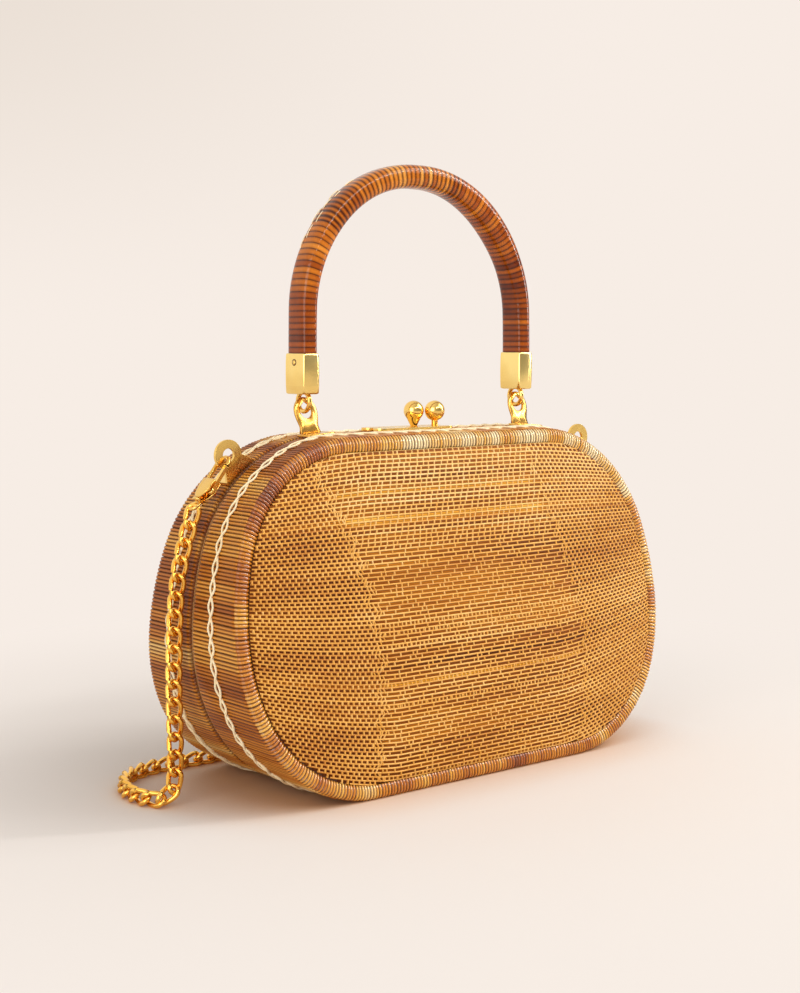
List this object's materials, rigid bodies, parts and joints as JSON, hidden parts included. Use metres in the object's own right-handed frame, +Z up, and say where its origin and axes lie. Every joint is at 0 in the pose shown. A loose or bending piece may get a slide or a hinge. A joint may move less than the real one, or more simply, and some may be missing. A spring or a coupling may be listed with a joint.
{
  "type": "basket box bag",
  "caption": "Hard oval basket handbag: woven panels in cane-bound rims, halves hinged at the base, arched wrapped handle, ball clasp and clip-on link chain",
  "frame": {"origin": "middle of the base on the floor, under the seam between the halves, at the middle of the width", "axes": "+X to the right seen from the front, +Y to the back, +Z up"},
  "size_m": [0.2301, 0.1074, 0.2192],
  "materials": {
    "cane_binding": "glossy lacquered cane",
    "bent_rim": "plain bent rattan",
    "woven_straw": "satin woven cane",
    "cream_braid": "matt braided cord",
    "lining_cloth": "matt cloth",
    "brass": "polished brass, lightly worn"
  },
  "bodies": {
    "back_half": {"back_hoop": "bent_rim", "back_wrap": "cane_binding", "back_panel": "woven_straw", "back_lining": "lining_cloth", "back_stitch": "cream_braid", "chain_lug_left": "brass", "chain_lug_right": "brass", "back_clasp_plate": "brass", "back_clasp_ball": "brass", "hinge_back_leaf_left": "brass", "hinge_back_leaf_right": "brass", "hinge_pin_left": "brass", "hinge_pin_right": "brass", "chain": "brass", "snap_hook_left": "brass", "snap_hook_right": "brass"},
    "front_half": {"front_hoop": "bent_rim", "front_wrap": "cane_binding", "front_panel": "woven_straw", "front_lining": "lining_cloth", "front_stitch": "cream_braid", "handle_tab_left": "brass", "handle_tab_right": "brass", "front_clasp_plate": "brass", "front_clasp_ball": "brass", "hinge_front_leaf_left": "brass", "hinge_front_leaf_right": "brass"},
    "handle": {"handle_core": "bent_rim", "handle_wrap": "cane_binding", "ferrule_left": "brass", "ferrule_right": "brass", "handle_eye_left": "brass", "handle_eye_right": "brass"},
    "gate_left": {"snap_gate_left": "brass"},
    "gate_right": {"snap_gate_right": "brass"}
  },
  "joints": [
    {"name": "base_hinge", "type": "hinge", "parent": "back_half", "child": "front_half", "pos_m": [0, 0, 0.00175], "axis": [1, 0, 0], "range_deg": [0, 80]},
    {"name": "handle_swing", "type": "hinge", "parent": "front_half", "child": "handle", "pos_m": [0, 0.00242, 0.13432], "axis": [1, 0, 0], "range_deg": [-90, 90]},
    {"name": "gate_left_hinge", "type": "hinge", "parent": "back_half", "child": "gate_left", "pos_m": [-0.09232, -0.00205, 0.10555], "axis": [-0.7986, 0, 0.6018], "range_deg": [0, 9], "stiffness_Nm_per_rad": 0.004, "springref_deg": -2.86},
    {"name": "gate_right_hinge", "type": "hinge", "parent": "back_half", "child": "gate_right", "pos_m": [0.09232, -0.00205, 0.10555], "axis": [-0.7986, 0, -0.6018], "range_deg": [0, 9], "stiffness_Nm_per_rad": 0.004, "springref_deg": -2.86}
  ]
}
